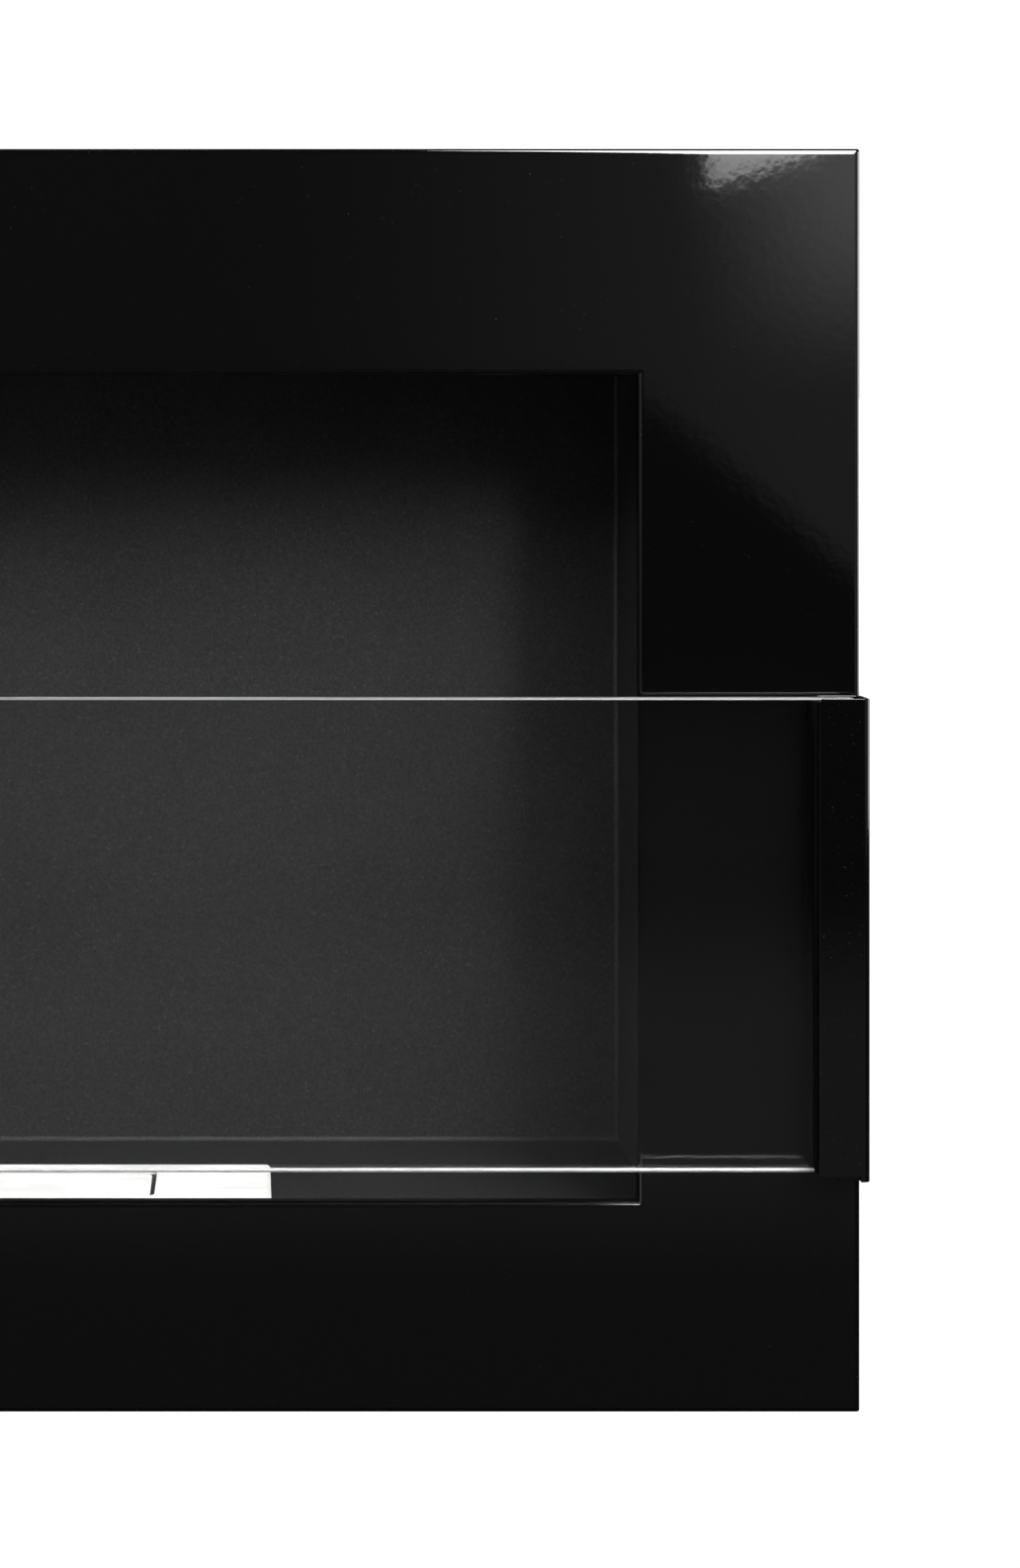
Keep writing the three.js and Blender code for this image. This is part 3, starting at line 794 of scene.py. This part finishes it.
def lining(side_name, sign):
    low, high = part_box("glass_gasket_" + side_name)
    inside, outside = sorted((abs(low.x), abs(high.x)))
    front_leg = glass_low.y - GLASS_PLAY
    rear_leg = glass_high.y + GLASS_PLAY
    bottom_of_slot = outside - LINING_WALL
    section = [
        (inside, low.y),
        (outside, low.y),
        (outside, high.y),
        (inside, high.y),
        (inside, rear_leg),
        (bottom_of_slot, rear_leg),
        (bottom_of_slot, front_leg),
        (inside, front_leg),
    ]
    piece = prism("channel_lining_" + side_name, mirror_x(section, sign), "z", low.z, high.z)
    soften(piece)
    shade(piece)
    finish(piece, "black_rubber")
    stand_for(piece, "housing", "black_rubber", "glass_gasket_" + side_name)


for side_name, sign in (("right", 1), ("left", -1)):
    lining(side_name, sign)

# %% [markdown]
# ## The glass guard
# The pane is five millimetres of toughened glass. Its four edges are arrised: ground flat with a
# small chamfer on each side. The ground strips get their own, rougher glass, and the large faces
# the clear one, so the edges light up while the pane almost disappears.

# %% Build the pane
ARRIS = 0.6 * MM
GLASS_CORNER = 1.5 * MM
FACE_ON = 0.95


def pane_loop(inset, y):
    outline = round_rectangle(
        glass_low.x + inset,
        glass_high.x - inset,
        glass_low.z + inset,
        glass_high.z - inset,
        GLASS_CORNER,
    )
    return [(x, y, z) for x, z in outline]


pane = loft(
    "glass_guard",
    [
        pane_loop(ARRIS, glass_low.y),
        pane_loop(0, glass_low.y + ARRIS),
        pane_loop(0, glass_high.y - ARRIS),
        pane_loop(ARRIS, glass_high.y),
    ],
    closed=False,
    caps=True,
)
shade(pane)
pane.data.materials.append(finishes["clear_glass"])
pane.data.materials.append(ground_edge)
for polygon in pane.data.polygons:
    polygon.material_index = 0 if abs(polygon.normal.y) > FACE_ON else 1
stand_for(pane, "glass", "clear_glass", "glass_pane")

# %% [markdown]
# ## The burner cover and its lid
# The cover is a shallow stainless pressing with a soft edge all round and the flame slot in the
# middle. It is lofted from the skirt over the crown into the slot and back underneath. The lid is
# a plain plate that lies a little lower in the slot, on four ledges, with a loop for the hook.

# %% Loops of the burner cover
SLOT_SIDE = 100.3 * MM
SLOT_HALF = 15.0 * MM
SLOT_CORNER = 2.0 * MM
COVER_CORNER = 1.5 * MM
TIGHTEST = 0.4 * MM
GAUGE = 1.2 * MM
FLOOR_PLAY = 0.1 * MM
mid_y = (cover_low.y + cover_high.y) / 2
crown_z = cover_high.z
skirt_z = floor_z + FLOOR_PLAY


def cover_loop(inset, z):
    outline = round_rectangle(
        cover_low.x + inset,
        cover_high.x - inset,
        cover_low.y + inset,
        cover_high.y - inset,
        max(COVER_CORNER - inset, TIGHTEST),
    )
    return [(x, y, z) for x, y in outline]


def slot_loop(outset, z):
    outline = round_rectangle(
        -SLOT_SIDE - outset,
        SLOT_SIDE + outset,
        mid_y - SLOT_HALF - outset,
        mid_y + SLOT_HALF + outset,
        SLOT_CORNER + outset,
    )
    return [(x, y, z) for x, y in outline]


# %% Build the burner cover
CROWN = 1.6 * MM
SLOT_EDGE = 0.3 * MM
loops = [cover_loop(GAUGE, skirt_z), cover_loop(0, skirt_z)]
loops += [cover_loop(d, z) for d, z in arc((CROWN, crown_z - CROWN), CROWN, 180, 90, 8)]
loops += [slot_loop(d, z) for d, z in arc((SLOT_EDGE, crown_z - SLOT_EDGE), SLOT_EDGE, 90, 180, 3)]
loops += [slot_loop(0, crown_z - GAUGE), cover_loop(GAUGE, crown_z - GAUGE)]
cover = loft("burner_cover", loops)
print("cover loops", len(loops))

# %% Add the four ledges for the lid
LEDGE_PLACE = 60.0 * MM
LEDGE_HALF = 9.0 * MM
LEDGE_IN = 4.0 * MM
LEDGE_OUT = 1.6 * MM
LID_PLAY = 0.1 * MM


def ledge(x, sign):
    """A shelf under the lid, and the riser that hangs it from the rim of the slot."""
    rim_y = mid_y + sign * SLOT_HALF
    under_lid = rim_y - sign * LEDGE_IN
    under_rim = rim_y + sign * LEDGE_OUT
    left_x = x - LEDGE_HALF
    right_x = x + LEDGE_HALF
    shelf = [(left_x, under_lid), (right_x, under_lid), (right_x, under_rim), (left_x, under_rim)]
    riser = [(left_x, rim_y), (right_x, rim_y), (right_x, under_rim), (left_x, under_rim)]
    low = cover_low.z
    join_on(cover, prism("ledge", shelf, "z", low, lid_low.z - LID_PLAY))
    join_on(cover, prism("riser", riser, "z", low + LID_PLAY, crown_z - GAUGE / 2))


for x in (-LEDGE_PLACE, LEDGE_PLACE):
    for sign in (-1, 1):
        ledge(x, sign)
shade(cover)
finish(cover, "stainless_steel")
stand_for(cover, "burner", "stainless_steel", "burner_top_plate")

# %% Build the lid
lid_outline = round_rectangle(lid_low.x, lid_high.x, lid_low.y, lid_high.y, SLOT_CORNER)
lid = prism("slot_lid", lid_outline, "z", lid_low.z, lid_high.z)
soften(lid)
shade(lid)
finish(lid, "stainless_steel")
stand_for(lid, "lid", "stainless_steel", "lid_plate")

# %% Build the lid's loop
LOOP_LEG = 14.0 * MM
LOOP_BEND = 1.5 * MM
handle_low, handle_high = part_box("lid_handle")
foot = handle_low.z + GAUGE / 2
bridge = handle_high.z - GAUGE / 2
reach = handle_high.x
loop_line = [
    (-reach, foot),
    (-LOOP_LEG, foot),
    (-LOOP_LEG, bridge),
    (LOOP_LEG, bridge),
    (LOOP_LEG, foot),
    (reach, foot),
]
loop_section = folded(loop_line, GAUGE, LOOP_BEND, steps=10)
handle = prism("lid_loop", loop_section, "y", handle_low.y, handle_high.y)
soften(handle, segments=2, angle=50)
shade(handle)
finish(handle, "stainless_steel")
stand_for(handle, "lid", "stainless_steel", "lid_handle")

# %% [markdown]
# ## The wool in the tank
# Under the slot lies a pad of ceramic fibre that holds the fuel. It is a soft block, so its faces
# are divided and moved by noise along their normals, which gives the lumpy look of wool, and it
# starts a little smaller, so that the lumps stay inside the tank, under the perforated sheet.

# %% Build the wool
SWELL = 0.6 * MM
PAD_CORNER = 5.0 * MM
PAD_GRID = 2.2 * MM
TUFT = 6.0 * MM
wool_low, wool_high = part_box("ceramic_wool_pad")
pad_outline = round_rectangle(
    wool_low.x + SWELL, wool_high.x - SWELL, wool_low.y + SWELL, wool_high.y - SWELL, PAD_CORNER
)
wool = prism("wool_pad", pad_outline, "z", wool_low.z + SWELL, wool_high.z - SWELL)
remesh = wool.modifiers.new("even", "REMESH")
remesh.mode = "VOXEL"
remesh.voxel_size = PAD_GRID
bake_modifiers(wool)
tufts = bpy.data.textures.new("tufts", "CLOUDS")
tufts.noise_scale = TUFT
lumps = wool.modifiers.new("lumps", "DISPLACE")
lumps.texture = tufts
lumps.strength = 1.0 * MM
lumps.mid_level = 0.5
bake_modifiers(wool)
shade(wool, sharp_angle=80)
finish(wool, "ceramic_wool")
stand_for(wool, "burner", "ceramic_wool", "ceramic_wool_pad")

# %% [markdown]
# ## Screws, rivets and pads on the back
# Screws and rivets sit on the rear cover, and two rubber pads keep the box off the wall. All are
# round, so a fine lathe gives them smooth outlines where the working parts have facets. A profile
# lists a radius and a distance from the seat, in millimetres. The screws get a cross recess by
# cutting two bars out of the head.

# %% Helpers for turned pieces
back_of_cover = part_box("rear_cover")[1].y


def seat_of(name):
    """Where the axis of a part meets the outside of the rear cover."""
    low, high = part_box(name)
    middle = (low + high) / 2
    return (middle.x, back_of_cover, middle.z)


def in_metres(profile):
    return [(radius * MM, along * MM) for radius, along in profile]


def finish_turned(piece, slot_name, cad_node):
    shade(piece)
    finish(piece, slot_name)
    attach(piece, "housing")
    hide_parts(cad_node)


# %% Screws
BAR_LENGTH = 2.0 * MM
BAR_WIDTH = 0.42 * MM
BAR_CORNER = 0.1 * MM
RECESS_FLOOR = 0.75 * MM
OVER_HEAD = 3.0 * MM


def screw(name):
    seat = seat_of(name)
    shank = [(0, -8), (1.4, -8), (2.0, -7.4), (2.0, 0)]
    head = [(3.6, 0), (3.6, 0.7), (3.35, 1.1), (2.8, 1.45), (1.8, 1.7), (0.9, 1.78), (0, 1.8)]
    piece = lathe(name + "_turned", in_metres(shank + head), seat)
    x, y, z = seat
    for wide, high in ((BAR_LENGTH, BAR_WIDTH), (BAR_WIDTH, BAR_LENGTH)):
        bar = round_rectangle(x - wide, x + wide, z - high, z + high, BAR_CORNER)
        cut_away(piece, prism("cutter", bar, "y", y + RECESS_FLOOR, y + OVER_HEAD))
    finish_turned(piece, "fastener_steel", name)


# %% Rivets
def rivet(name):
    inner_end = [(0, -4.5), (1.8, -4.5), (2.5, -4.0), (2.5, -3.5), (1.6, -3.5), (1.6, 0)]
    dome = [(3.1, 0), (3.05, 0.3), (2.6, 0.7), (1.9, 0.95), (1.1, 1.08), (0.8, 1.1)]
    mandrel = [(0.8, 0.7), (0, 0.7)]
    profile = in_metres(inner_end + dome + mandrel)
    piece = lathe(name + "_turned", profile, seat_of(name), 32)
    finish_turned(piece, "fastener_steel", name)


# %% Wall pads
PAD_LIP = 1.0 * MM
DISH_DEPTH = 0.4 * MM
DISH_EDGE = 0.45
DISH_FLOOR = 0.4


def bumper(name):
    low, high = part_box(name)
    middle = (low + high) / 2
    radius = (high.x - low.x) / 2
    height = high.y - low.y
    lip_centre = (radius - PAD_LIP, height - PAD_LIP)
    dish_y = height - DISH_DEPTH
    profile = [(0, 0), (radius, 0), (radius, height - PAD_LIP)]
    profile += arc(lip_centre, PAD_LIP, 0, 90, 5)[1:]
    profile += [(DISH_EDGE * radius, height), (DISH_FLOOR * radius, dish_y), (0, dish_y)]
    piece = lathe(name + "_moulded", profile, (middle.x, low.y, middle.z), 48)
    finish_turned(piece, "black_rubber", name)


# %% Build all of them
makers = {"cover_screw": screw, "strip_rivet": rivet, "wall_bumper": bumper}
for stem, make in makers.items():
    members = sorted(name for name in nodes if name.startswith(stem))
    for name in members:
        make(name)
    print(stem, len(members))

# %% [markdown]
# ## The studio
# The fireplace is shown against white, so the floor and the backdrop are white to the eye. All
# that the black gloss could mirror stays dim, which is how a studio keeps a black object black:
# dark flags all round it, and bright only what is placed with care. The node Light Path tells the
# rays apart, so both the floor and the world are white for the camera and dark for every other
# ray. The floor isn't mirrored at all.

# %% Floor
EYE_WHITE = 1.1
FLOOR_HALF = 6.0
FLOOR_CORNER = 0.5


def white_only_to_the_eye(paint, seen, unseen):
    """Mixes two shaders by the kind of ray that asks."""
    eye = paint.node("ShaderNodeLightPath", output="Is Camera Ray")
    return paint.node("ShaderNodeMixShader", None, {0: eye, 1: unseen, 2: seen})


def floor_material():
    paint = Paint("studio_floor")
    speck = paint.noise(scale=40, detail=2.0, roughness=0.5)
    white = paint.node(
        "ShaderNodeEmission",
        None,
        {"Color": paint.tint(speck, (0.99, 0.99, 0.99), (1, 1, 1)), "Strength": EYE_WHITE},
    )
    grey = paint.node("ShaderNodeBsdfDiffuse", None, {"Color": (0.015, 0.015, 0.015, 1)})
    return paint.done(white_only_to_the_eye(paint, white, grey))


bm = bmesh.new()
corners = round_rectangle(-FLOOR_HALF, FLOOR_HALF, -FLOOR_HALF, FLOOR_HALF, FLOOR_CORNER)
bm.faces.new([bm.verts.new((x, y, bottom_z)) for x, y in corners])
floor = new_piece("studio_floor", bm)
floor.data.materials.append(floor_material())
floor.visible_glossy = False
print("floor", 2 * FLOOR_HALF, "m wide")

# %% World
FLAG_GREY = 0.02
WHITE = (1, 1, 1, 1)
world = bpy.data.worlds.new("studio")
bpy.context.scene.world = world
sky = Paint("studio", world)
backdrop = sky.node("ShaderNodeBackground", None, {"Color": WHITE, "Strength": EYE_WHITE})
flags = sky.node("ShaderNodeBackground", None, {"Color": WHITE, "Strength": FLAG_GREY})
sky.done(white_only_to_the_eye(sky, backdrop, flags), "ShaderNodeOutputWorld")
print("world", len(sky.tree.nodes), "nodes")

# %% [markdown]
# ## Lamps that light, and cards that are mirrored
# A matt surface needs light on it and a glossy one needs something to mirror, and each wants its
# own brightness. So the key and the high lamp light the matt paint and stay out of reflections,
# the lamps marked as mirrored are seen in them too, and the cards are seen only there. A card's
# glow may fade across it, like the cloth of a softbox.

# %% A lamp
def softbox(name, centre, aim, width, height, watts, mirrored=False, only=()):
    """An area lamp. Given pieces, it lights only those, as a lamp with a snoot would."""
    lamp = bpy.data.lights.new(name, "AREA")
    lamp.shape = "RECTANGLE"
    lamp.size = width
    lamp.size_y = height
    lamp.energy = watts
    box = bpy.data.objects.new(name, lamp)
    bpy.context.scene.collection.objects.link(box)
    box.location = centre
    box.rotation_mode = "QUATERNION"
    box.rotation_quaternion = (Vector(aim) - Vector(centre)).to_track_quat("-Z", "Y")
    box.visible_camera = False
    box.visible_transmission = False
    box.visible_glossy = mirrored
    if only:
        lit = bpy.data.collections.new(name + "_lights")
        for piece in only:
            lit.objects.link(piece)
        box.light_linking.receiver_collection = lit
    print(name, watts, "W")


# %% A card, and a glow that fades across it
def card(name, corners, peak, share):
    """A card that only reflections see. It glows at its peak, times a share that may vary."""
    bm = bmesh.new()
    bm.faces.new([bm.verts.new(corner) for corner in corners])
    piece = new_piece(name, bm)
    paint = Paint(name)
    glow = paint.tint(share(paint), (0, 0, 0), (1, 1, 1))
    light = paint.node("ShaderNodeEmission", None, {"Color": glow, "Strength": peak})
    piece.data.materials.append(paint.done(light))
    piece.visible_camera = False
    piece.visible_diffuse = False
    piece.visible_transmission = False
    piece.visible_shadow = False
    print(name, "peak", peak)


def fade(paint, direction, start, end, low, high):
    """A share that runs from low to high between two distances along a direction."""
    along = paint.node(
        "ShaderNodeVectorMath",
        {"operation": "DOT_PRODUCT"},
        {0: paint.place(), 1: direction},
        "Value",
    )
    return paint.node(
        "ShaderNodeMapRange",
        {"interpolation_type": "SMOOTHSTEP"},
        {"Value": along, "From Min": start, "From Max": end, "To Min": low, "To Max": high},
    )


# %% [markdown]
# ## Light for the matt paint
# The key comes from the right and a little above, so the recess is dark under its top edge and
# falls off towards its right wall. A weaker lamp from the left keeps the right wall readable, and
# a high one reaches the floor of the firebox.

# %% Key and fills
softbox("key", centre=(0.93, -1.80, 0.92), aim=(0, -0.05, -0.1), width=1.6, height=0.95, watts=22)
softbox(
    "left_fill",
    centre=(-1.1, -1.6, 0.95),
    aim=(0.2, -0.05, -0.15),
    width=0.9,
    height=0.7,
    watts=7.5,
    mirrored=True,
)
softbox(
    "high_key", centre=(0.6, -1.25, 1.45), aim=(0, -0.05, -0.2), width=1.0, height=0.5, watts=7
)

# %% [markdown]
# ## Light for the burner alone
# The steel of the burner would mirror little but the dark back panel, so it gets a lamp of its
# own, linked to these three pieces. Diffuse and glossy rays don't see them, or their brightness
# would show on the back panel as well.

# %% The burner's lamp
steel = [cover, lid, handle]
softbox(
    "burner_lamp",
    centre=(0.1, -0.75, 0.85),
    aim=(0.05, -0.09, floor_z),
    width=0.9,
    height=0.5,
    watts=1300,
    mirrored=True,
    only=steel,
)
for piece in steel:
    piece.visible_diffuse = False
    piece.visible_glossy = False

# %% [markdown]
# ## What the front mirrors
# The long overhead card leans back over the object: the top bend and the lip of the opening
# mirror it as thin white lines. The card straight in front fills the face. A dark flag with a
# soft slanting edge covers its lower part, and its upper right corner glows. The cards below and
# to the sides give the lower band and the bends a little tone.

# %% Overhead and fill cards
X = (1, 0, 0)
Z = (0, 0, 1)
card(
    "fill_card",
    [(-1.5, -1.5, 0.6), (-0.7, -1.9, 0.6), (-0.7, -1.6, 1.3), (-1.5, -1.2, 1.3)],
    10.0,
    lambda paint: fade(paint, X, start=-1.5, end=-0.7, low=0.5, high=1.0),
)
card(
    "overhead_card",
    [(0.612, -2.0, 0.291), (0.722, -2.0, 0.325), (0.74, -0.3, 1.6), (0.29, -0.3, 1.6)],
    26.0,
    lambda paint: fade(paint, Z, start=0.28, end=0.6, low=0.21, high=1.0),
)

# %% The card in front, with its flag and its corner
SLOPE = Vector((0.633, 0, 0.774))


def flag_and_corner(paint):
    """Light above a dark flag's soft slanting edge, with the glow of the corner above it."""
    under_slope = fade(paint, SLOPE, start=0.385, end=0.425, low=1.0, high=0.0)
    under_top = fade(paint, Z, start=0.04, end=0.11, low=1.0, high=0.0)
    below = under_slope * under_top
    above = (1 - below) * fade(paint, X, start=0.1, end=0.8, low=0.033, high=0.155)
    to_the_right = fade(paint, X, start=0.58, end=0.80, low=0.0, high=0.845)
    upwards = fade(paint, Z, start=0.06, end=0.31, low=0.0, high=1.0)
    return above + to_the_right * upwards


card(
    "flag_card",
    [(-0.6, -2.05, -0.4), (1.1, -2.05, -0.4), (1.1, -2.05, 0.8), (-0.6, -2.05, 0.8)],
    1.36,
    flag_and_corner,
)

# %% Low and side cards
def low_band(paint):
    """A glow between two heights that stays at under half its peak further down."""
    under_top = fade(paint, Z, start=-0.42, end=-0.6, low=0.0, high=1.0)
    return under_top * fade(paint, Z, start=-0.74, end=-0.86, low=1.0, high=0.46)


card(
    "low_card",
    [(-1.6, -2.0, -1.4), (1.6, -2.0, -1.4), (1.6, -2.0, -0.4), (-1.6, -2.0, -0.4)],
    0.13,
    low_band,
)
card(
    "low_left_card",
    [(-1.9, -1.2, -1.0), (-1.0, -2.3, -1.0), (-1.0, -2.3, -0.3), (-1.9, -1.2, -0.3)],
    1.3,
    lambda paint: fade(paint, X, start=-1.9, end=-1.0, low=1.0, high=0.57),
)
card(
    "side_card",
    [(2.0, -0.35, -0.35), (2.0, 0.9, -0.35), (2.0, 0.9, 0.6), (2.0, -0.35, 0.6)],
    6.0,
    lambda paint: fade(paint, Z, start=-0.35, end=0.3, low=0.5, high=1.0),
)

# %% [markdown]
# ## Light for the sides, the top and the back
# Whoever walks round the object wants to see these too. Their lamps and cards stand behind the
# plane of the wall or far out to the sides, where the flat face doesn't mirror them to the front.

# %% Lamps behind the wall
middle = (cad_low + cad_high) / 2
softbox(
    "rear_lamp",
    centre=(0.9, 2.2, -0.1),
    aim=middle,
    width=2.4,
    height=0.36,
    watts=11,
    mirrored=True,
)
softbox(
    "rear_lamp_left",
    centre=(-1.8, 1.4, 0.5),
    aim=middle,
    width=0.9,
    height=1.2,
    watts=30,
    mirrored=True,
)

# %% Cards behind, beside and above
card(
    "rear_card",
    [(-1.6, 2.4, -0.3), (1.6, 2.4, -0.3), (1.6, 2.4, 0.08), (-1.6, 2.4, 0.08)],
    1.2,
    lambda paint: fade(paint, X, start=-1.6, end=1.6, low=0.33, high=1.0),
)
card(
    "left_card",
    [(-2.2, -0.9, -0.3), (-2.2, 1.4, -0.3), (-2.0, 1.4, 1.4), (-2.0, -0.9, 1.4)],
    1.2,
    lambda paint: fade(paint, Z, start=-0.3, end=1.4, low=0.08, high=1.0),
)
card(
    "ceiling_card",
    [(-1.4, 0.3, 2.3), (0.1, 0.3, 2.3), (0.1, 2.2, 2.3), (-1.4, 2.2, 2.3)],
    0.7,
    lambda paint: fade(paint, X, start=-1.4, end=0.1, low=1.0, high=0.36),
)

# %% A pair of cards far out in front
right_corners = [(1.5, -2.6, -0.5), (2.6, -1.4, -0.5), (2.6, -1.4, 1.0), (1.5, -2.6, 1.0)]
for side_name, sign in (("right", 1), ("left", -1)):
    card(
        "front_card_" + side_name,
        [(sign * x, y, z) for x, y, z in right_corners],
        0.9,
        lambda paint: fade(paint, Z, start=-0.5, end=1.0, low=0.22, high=1.0),
    )

# %% [markdown]
# ## The camera
# It stands level, well to the right of the middle and above the firebox floor, and looks straight
# at the wall, so every edge of the face stays upright and level in the picture. Lens shift, not
# tilting, brings the right-hand half of the fireplace into the frame.

# %% Camera
TO_THE_RIGHT = 0.131
FROM_THE_FACE = 0.813
ABOVE_THE_FLOOR = 0.2955
camera_data = bpy.data.cameras.new("camera")
camera = bpy.data.objects.new("camera", camera_data)
bpy.context.scene.collection.objects.link(camera)
camera.location = (TO_THE_RIGHT, face_y - FROM_THE_FACE, bottom_z + ABOVE_THE_FLOOR)
camera.rotation_euler = (math.radians(90), 0, 0)
camera_data.sensor_fit = "HORIZONTAL"
camera_data.sensor_width = 36
camera_data.lens = 90.75
camera_data.shift_x = 0.2578
camera_data.shift_y = -0.2992
camera_data.clip_start = 0.01
bpy.context.scene.camera = camera
bpy.context.scene.view_settings.view_transform = "Standard"
print("camera at", [round(v, 4) for v in camera.location])
